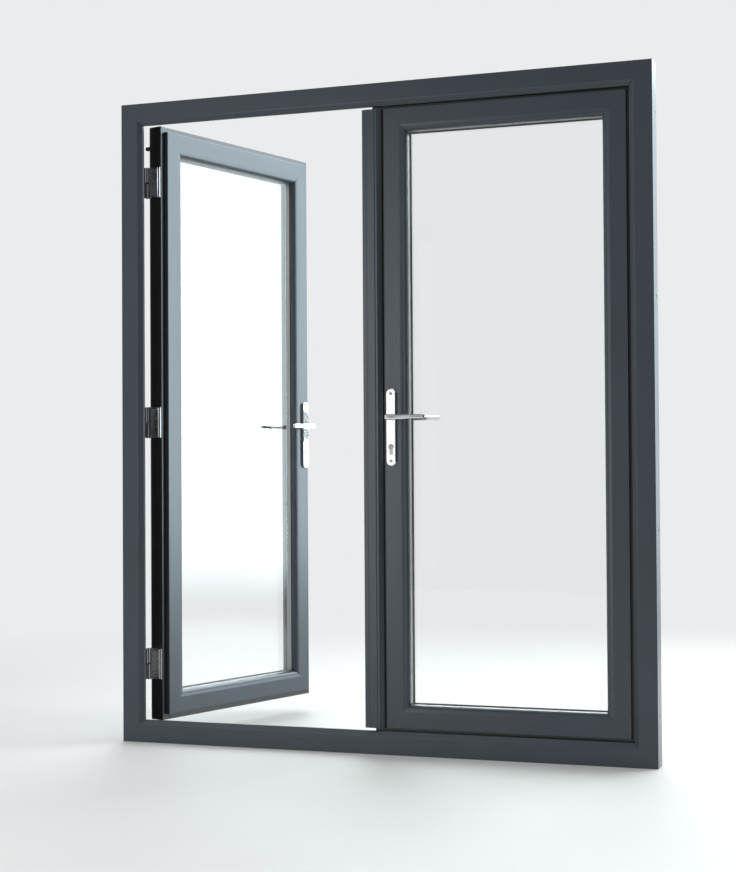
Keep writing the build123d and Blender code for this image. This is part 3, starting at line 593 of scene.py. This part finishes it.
class DOORS_OT_finish_profiles(bpy.types.Operator):
    """Cover the frame, the leaves, the beads and the mullion with grey foil"""

    bl_idname = "doors.finish_profiles"
    bl_label = "Finish Profiles"

    def execute(self, context):
        # Where the near-black core colour goes: the frame's rebate and the leaf edges, partly painted shade
        frame_core_and_shade = (UPSTAND_D, FRAME_DEPTH - 0.004, REBATE_E, UPSTAND_E - 0.0004)
        leaf_core_and_shade = (FACE_D + 0.002, BACK_D - 0.0085, 0, FACE_E + 0.0004)
        around = (0, WIDTH / 2)
        assign(paint_profile("foil_frame_upright", False, True, around, frame_core_and_shade),
               ["frame_left_jamb", "frame_right_jamb"])
        assign(paint_profile("foil_frame_level", False, False, around, frame_core_and_shade),
               ["frame_head", "frame_sill"])
        for side in (LEFT, RIGHT):
            ring = (side * LEAF_MIDDLE, LEAF_HALF)
            name, turned = NAMES[side], side == LEFT
            assign(paint_profile(f"foil_{name}_upright", turned, True, ring, leaf_core_and_shade),
                   leaf_nodes(side, "hinge_stile", "lock_stile", "hinge_side_bead", "lock_side_bead"))
            assign(paint_profile(f"foil_{name}_level", turned, False, ring, leaf_core_and_shade),
                   leaf_nodes(side, "top_rail", "bottom_rail", "top_bead", "bottom_bead"))
        assign(paint_profile("foil_mullion", False, True, None, None), ["floating_mullion"])
        return {"FINISHED"}


class DOORS_OT_finish_glazing(bpy.types.Operator):
    """Make the panes clear, and finish the spacers and all the seals"""

    bl_idname = "doors.finish_glazing"
    bl_label = "Finish Glazing"

    def execute(self, context):
        seal = paint_seal()
        for side in (LEFT, RIGHT):
            assign(paint_glass(side == LEFT), leaf_nodes(side, "inner_pane", "outer_pane"))
            assign(paint_spacer(side == LEFT), leaf_nodes(side, "glass_spacer"))
            assign(seal, leaf_nodes(side, "glazing_gaskets"))
        assign(seal, ["frame_gasket", "mullion_gasket"])
        return {"FINISHED"}


class DOORS_OT_finish_hardware(bpy.types.Operator):
    """Finish the handles, hinges, locks and bolts"""

    bl_idname = "doors.finish_hardware"
    bl_label = "Finish Hardware"

    def execute(self, context):
        polished = paint_metal("polished_chrome", colour("polished"), 0.04, 0.07,
                               smudge=0.03, depth=5e-7)
        satin = paint_metal("satin_steel", colour("satin"), 0.18, 0.26, (1, 1, 0.05),
                            smudge=0.04, depth=1.2e-6, bushes=True)
        zinc = paint_metal("plated_steel", colour("zinc"), 0.3, 0.44, (1, 1, 0.08))
        lever = paint_metal("lever_chrome", colour("polished"), 0.04, 0.07,
                            smudge=0.03, depth=5e-7, crown=18)
        for side in (LEFT, RIGHT):
            assign(polished, leaf_nodes(side, "inside_backplate", "outside_backplate"))
            assign(lever, leaf_nodes(side, "inside_lever", "outside_lever"))
            assign(paint_screw(f"backplate_screws_{NAMES[side]}", colour("satin")),
                   leaf_nodes(side, "handle_screws"))
            assign(paint_cylinder(f"nickel_cylinder_{NAMES[side]}", (0.38, 0.34, 0.32)),
                   leaf_nodes(side, "cylinder"))
            assign(zinc, leaf_nodes(side, "spindle", "lock_case"))
            assign(satin, leaf_nodes(side, "hinge_plates"))
        assign(satin, ["hinge_frame_plates", "hinge_pins"])
        assign(zinc, ["shootbolt_keeps", "left_lock_faceplate", "left_latch", "left_deadbolt",
                      "left_hook_bolts", "lock_keep", "top_shootbolt", "bottom_shootbolt"])
        assign(paint_plastic(), ["mullion_end_caps"])
        return {"FINISHED"}


class DOORS_OT_fit_hinge_covers(bpy.types.Operator):
    """Snap a cover over each hinge's leaf plate"""

    bl_idname = "doors.fit_hinge_covers"
    bl_label = "Fit Hinge Covers"

    def execute(self, context):
        cover = model_hinge_cover()
        plate_e, middle_d = LEAF_E - HINGE_PLATE, 0.0525
        steel = bpy.data.materials["satin_steel"]
        for side in (LEFT, RIGHT):
            places = [seat(jamb_point(side, plate_e, middle_d, height), (side, 0, 0), side == LEFT)
                      for height in HINGE_HEIGHTS]
            name = NAMES[side]
            repeat(cover, f"{name}_hinge_cover", f"{name}_leaf", steel, places)
        bpy.data.objects.remove(cover)
        return {"FINISHED"}


class DOORS_OT_fit_screws(bpy.types.Operator):
    """Drive cross-recess screws into the hinges, the lock faceplate and the keeps"""

    bl_idname = "doors.fit_screws"
    bl_label = "Fit Screws"

    def execute(self, context):
        head = model_screw_head()
        steel = bpy.data.materials["plated_steel"]
        plate_e, middle_d = REBATE_E + HINGE_PLATE, 0.047
        plates = [seat(jamb_point(side, plate_e, middle_d, height + rise), (-side, 0, 0))
                  for side in (LEFT, RIGHT) for height in HINGE_HEIGHTS
                  for rise in (-0.040, -0.014, 0.014, 0.040)]
        repeat(head, "hinge_plate_screw", "frame", steel, plates)
        lock = [seat((LOCK_FACE_X, LOCK_Y, height), (1, 0, 0), True)
                for height in (0.17, 0.36, 0.62, 0.90, 1.14, 1.45, 1.65, 1.93)]
        repeat(head, "lock_faceplate_screw", "left_leaf", steel, lock)
        keep = [seat((KEEP_FACE_X, LOCK_Y, height), (-1, 0, 0))
                for height in (0.37, 0.62, 0.90, 1.045, 1.40, 1.734)]
        repeat(head, "lock_keep_screw", "right_leaf", steel, keep)
        low = REBATE_E + SHOOTBOLT_KEEP
        bolts = [seat((WEB_MIDDLE_X + shift, SHOOTBOLT_Y, height), (0, 0, up))
                 for height, up in ((low, 1), (HEIGHT - low, -1)) for shift in (-0.030, 0.030)]
        repeat(head, "shootbolt_keep_screw", "frame", steel, bolts)
        bpy.data.objects.remove(head)
        return {"FINISHED"}


class DOORS_OT_fit_plastic_parts(bpy.types.Operator):
    """Fit the hinge-side blocks, the caps over the fixings and the drain covers outdoors"""

    bl_idname = "doors.fit_plastic_parts"
    bl_label = "Fit Plastic Parts"

    def execute(self, context):
        plastic = bpy.data.materials["moulded_plastic"]
        block = model_hinge_side_block()
        block_d, block_height = 0.06925, 1.9695
        for side in (LEFT, RIGHT):
            name = NAMES[side]
            place = seat(jamb_point(side, LEAF_E, block_d, block_height), (side, 0, 0), side == LEFT)
            repeat(block, f"{name}_hinge_side_block", f"{name}_leaf", plastic, [place])

        cap = model_fixing_cap()
        fixing_d = 0.045
        heights = (END_FIXING, (HEIGHT - FIXING_PITCH) / 2,
                   (HEIGHT + FIXING_PITCH) / 2, HEIGHT - END_FIXING)
        places = [seat(jamb_point(side, REBATE_E, fixing_d, height), (-side, 0, 0))
                  for side in (LEFT, RIGHT) for height in heights]
        repeat(cap, "fixing_cap", "frame", plastic, places)

        drain = model_drain_cover()
        drain_height = 0.024
        places = [seat((shift, INSIDE_Y + FRAME_DEPTH, drain_height), (0, 1, 0))
                  for shift in (-0.62, 0, 0.62)]
        repeat(drain, "drain_cover", "frame", plastic, places)
        for model in (block, cap, drain):
            bpy.data.objects.remove(model)
        return {"FINISHED"}


def aim(thing, target):
    """Point a lamp or a card at a place."""
    thing.rotation_euler = (Vector(target) - thing.location).to_track_quat("-Z", "Y").to_euler()


def add_lamp(name, place, target, size, power, tint):
    """A soft lamp that the camera doesn't see."""
    bpy.ops.object.light_add(type="AREA", location=place)
    lamp = bpy.context.object
    lamp.name = name
    lamp.data.shape, lamp.data.size, lamp.data.size_y = "RECTANGLE", *size
    lamp.data.energy, lamp.data.color = power, tint
    lamp.visible_camera = lamp.visible_transmission = False
    aim(lamp, target)
    return lamp


def paint_card(name, low, high, tint, edge):
    """A card whose glow goes evenly from its lower edge up, and fades to a level at its foot and sides."""
    paint = Paint(bpy.data.materials.new(name))
    x, y, _ = paint.split(paint.place())
    glow = paint.spread(y + 0.5, low, high)
    if edge is not None:
        side = paint.step(abs(x), 0.5, 0.3)
        foot = paint.step(y, -0.5, -0.41)
        glow = (glow - edge) * side * foot + edge
    return paint.done(paint.node("ShaderNodeEmission", None, {"Color": (*tint, 1), "Strength": glow}))


def add_card(name, place, target, size, low, high, tint=(1, 1, 1), edge=None, through_glass=False):
    """A card for reflections, and through glass if so told, with its glow at the foot and the top."""
    bpy.ops.mesh.primitive_plane_add(size=1, location=place)
    card = bpy.context.object
    card.name = name
    card.scale = (*size, 1)
    aim(card, target)
    card.visible_camera = card.visible_diffuse = card.visible_shadow = False
    card.visible_transmission = through_glass
    card.data.materials.append(paint_card(name, low, high, tint, edge))


def seen_directly(paint):
    """1 for what the camera sees straight, in metal or through glass, and 0 for light on surfaces."""
    path = paint.node("ShaderNodeLightPath", output="Is Camera Ray")
    seen = path + path.output("Is Glossy Ray") + path.output("Is Transmission Ray")
    return paint.math("MINIMUM", seen, 1.0)


def paint_floor(studio):
    """A pale floor that fades into the background far from the doors."""
    paint = Paint(bpy.data.materials.new("pale_floor"))
    here = paint.place()
    tone = paint.noise(here, 1.3, 4, 0.6)
    base = tuple(studio.floor)
    tint = paint.mix(paint.step(tone, 0.3, 0.7) * 0.5, base, shade(base, 0.96))
    matt = paint.surface({"Base Color": tint, "Roughness": paint.spread(tone, 0.55, 0.7)})
    away = paint.node("ShaderNodeVectorMath", {"operation": "LENGTH"}, {0: here}, output="Value")
    glow = paint.node("ShaderNodeEmission", None, {"Color": (*studio.background, 1), "Strength": 1.0})
    fade = paint.step(away, 1.3, 4.8) * seen_directly(paint)
    return paint.done(paint.node("ShaderNodeMixShader", None, {0: fade, 1: matt, 2: glow}))


def lay_floor(studio):
    """A round floor, with a ring of its own far out."""
    bpy.ops.object.select_all(action="DESELECT")
    bpy.ops.mesh.primitive_circle_add(vertices=96, radius=60, fill_type="NGON")
    floor = bpy.context.object
    floor.name = "floor"
    bpy.ops.object.mode_set(mode="EDIT")
    bpy.ops.mesh.inset(thickness=52)
    bpy.ops.object.mode_set(mode="OBJECT")
    floor.data.materials.append(paint_floor(studio))


def light_world(studio):
    """Even light all round, with the background's colour where it is seen."""
    world = bpy.data.worlds.new("studio")
    bpy.context.scene.world = world
    paint = Paint(world)
    light = paint.node("ShaderNodeBackground", None,
                       {"Color": (0.96, 0.98, 1.0, 1), "Strength": studio.sky_level})
    shown = paint.node("ShaderNodeBackground", None, {"Color": (*studio.background, 1), "Strength": 1.0})
    paint.done(paint.node("ShaderNodeMixShader", None, {0: seen_directly(paint), 1: light, 2: shown}))


def place_lamps(studio):
    """The room's lamps and the daylight. Only the strip shows in reflections."""
    key = add_lamp("key_indoors", (-2.3, -4.4, 2.7), (0.1, 0, 1.1), (2.2, 2.2), studio.key_power,
                   (1, 0.98, 0.96))
    daylight = add_lamp("daylight", (2.9, 2.8, 2.2), (-0.62, 0.45, 1.1), (3.2, 3.2),
                        studio.daylight_power, (0.93, 0.98, 1))
    key.visible_glossy = daylight.visible_glossy = False
    add_lamp("strip_indoors", (-1.83, -4.6, 1.25), (0, 0, 1.15), (0.6, 2.6), studio.strip_power,
             (0.97, 0.98, 1))


def place_cards(studio):
    """What the foil, the glass and the chrome mirror: the sky, the room and strips for the handles."""
    add_card("sky_card", (2.9, 2.46, 2.0), (-0.42, 0.16, 1.1), (3.4, 4.0),
             1.06 * studio.sky_card, 0.92 * studio.sky_card, tint=(0.78, 0.93, 1), edge=SKY["edge"])
    add_card("sky_card_above", (0.2, 2.8, 4.8), (0.2, 2.0, 0), (7, 4.5), 6, 6, **SKY)
    add_card("sky_card_far", (0.5, 7.6, 6.4), (0, 0, 1), (14, 5.6), 8, 8, **SKY, through_glass=True)
    add_card("sky_card_side", (3.5, 0.85, 2.7), (-0.79, 0.03, 1.85), (1.1, 1.4), 5, 5, **SKY)
    add_card("room_card", (0.5, -6.6, 1.7), (0, 0, 1.1), (18, 6), 0.3, 0.4, edge=0)
    add_card("backplate_card", (-1.46, -4.62, 1.15), (0.05, 0, 1.05), (0.13, 0.62), 1.06, 1.06)
    add_card("dark_card_left_handle", (1.224, 2.079, 1.124), (-0.54, 0.77, 1.05), (0.062, 0.16), 0.06, 0.16)
    levers = (0.1, 0, 1.05)
    add_card("dark_card_levers", (-1.36, -4.68, 1.3), levers, (0.33, 2.2), 0.05, 0.05, edge=0.33)
    add_card("bright_card_levers", (-1.39, -4.64, 1.3), levers, (0.05, 2.0), 0.9, 0.9)
    add_card("pale_card_levers", (-1.255, -4.64, 1.3), levers, (0.09, 2.0), 0.6, 0.6)
    add_card("black_card_right", (3.4, -1.2, 1.3), (0, -0.6, 1.1), (2.2, 3.0), 0, 0)
    add_card("black_card_above", (0.6, -1.9, 3.6), (0, 0, 1.1), (5.0, 1.6), 0, 0)


def place_camera(studio):
    """The camera that takes the picture."""
    bpy.ops.object.camera_add(location=tuple(studio.eye))
    camera = bpy.context.object
    camera.name = "camera"
    turn = (Matrix.Rotation(studio.yaw, 3, "Z") @ Matrix.Rotation(math.pi / 2 + studio.pitch, 3, "X")
            @ Matrix.Rotation(studio.roll, 3, "Z"))
    camera.rotation_euler = turn.to_euler()
    camera.data.sensor_width = 36
    camera.data.lens = studio.focal
    camera.data.shift_y = studio.rise
    camera.data.clip_start, camera.data.clip_end = 0.05, 200
    bpy.context.scene.camera = camera


class DOORS_OT_build_stage(bpy.types.Operator):
    """Lay a pale floor and set up soft lamps, the background and the camera"""

    bl_idname = "doors.build_stage"
    bl_label = "Build Stage"

    def execute(self, context):
        studio = context.scene.studio
        lay_floor(studio)
        light_world(studio)
        place_lamps(studio)
        place_cards(studio)
        place_camera(studio)
        context.scene.view_settings.view_transform = "Standard"
        return {"FINISHED"}


OPERATORS = (DOORS_OT_finish_profiles, DOORS_OT_finish_glazing, DOORS_OT_finish_hardware,
             DOORS_OT_fit_hinge_covers, DOORS_OT_fit_screws, DOORS_OT_fit_plastic_parts,
             DOORS_OT_build_stage)


class DOORS_PT_panel(bpy.types.Panel):
    """Finishing steps for the doors"""

    bl_label = "French Doors"
    bl_idname = "DOORS_PT_panel"
    bl_space_type = "VIEW_3D"
    bl_region_type = "UI"
    bl_category = "Doors"

    def draw(self, context):
        for name in DoorColours.__annotations__:
            self.layout.prop(context.scene.door_colours, name)
        for name in StudioSettings.__annotations__:
            self.layout.prop(context.scene.studio, name)
        for step in OPERATORS:
            self.layout.operator(step.bl_idname)


CLASSES = (DoorColours, StudioSettings, *OPERATORS, DOORS_PT_panel)


def register():
    for cls in CLASSES:
        bpy.utils.register_class(cls)
    bpy.types.Scene.door_colours = PointerProperty(type=DoorColours)
    bpy.types.Scene.studio = PointerProperty(type=StudioSettings)


def unregister():
    del bpy.types.Scene.studio
    del bpy.types.Scene.door_colours
    for cls in reversed(CLASSES):
        bpy.utils.unregister_class(cls)


def main():
    register()
    bpy.ops.doors.finish_profiles()
    bpy.ops.doors.finish_glazing()
    bpy.ops.doors.finish_hardware()
    bpy.ops.doors.fit_hinge_covers()
    bpy.ops.doors.fit_screws()
    bpy.ops.doors.fit_plastic_parts()
    bpy.ops.doors.build_stage()


if __name__ == "__main__":
    main()
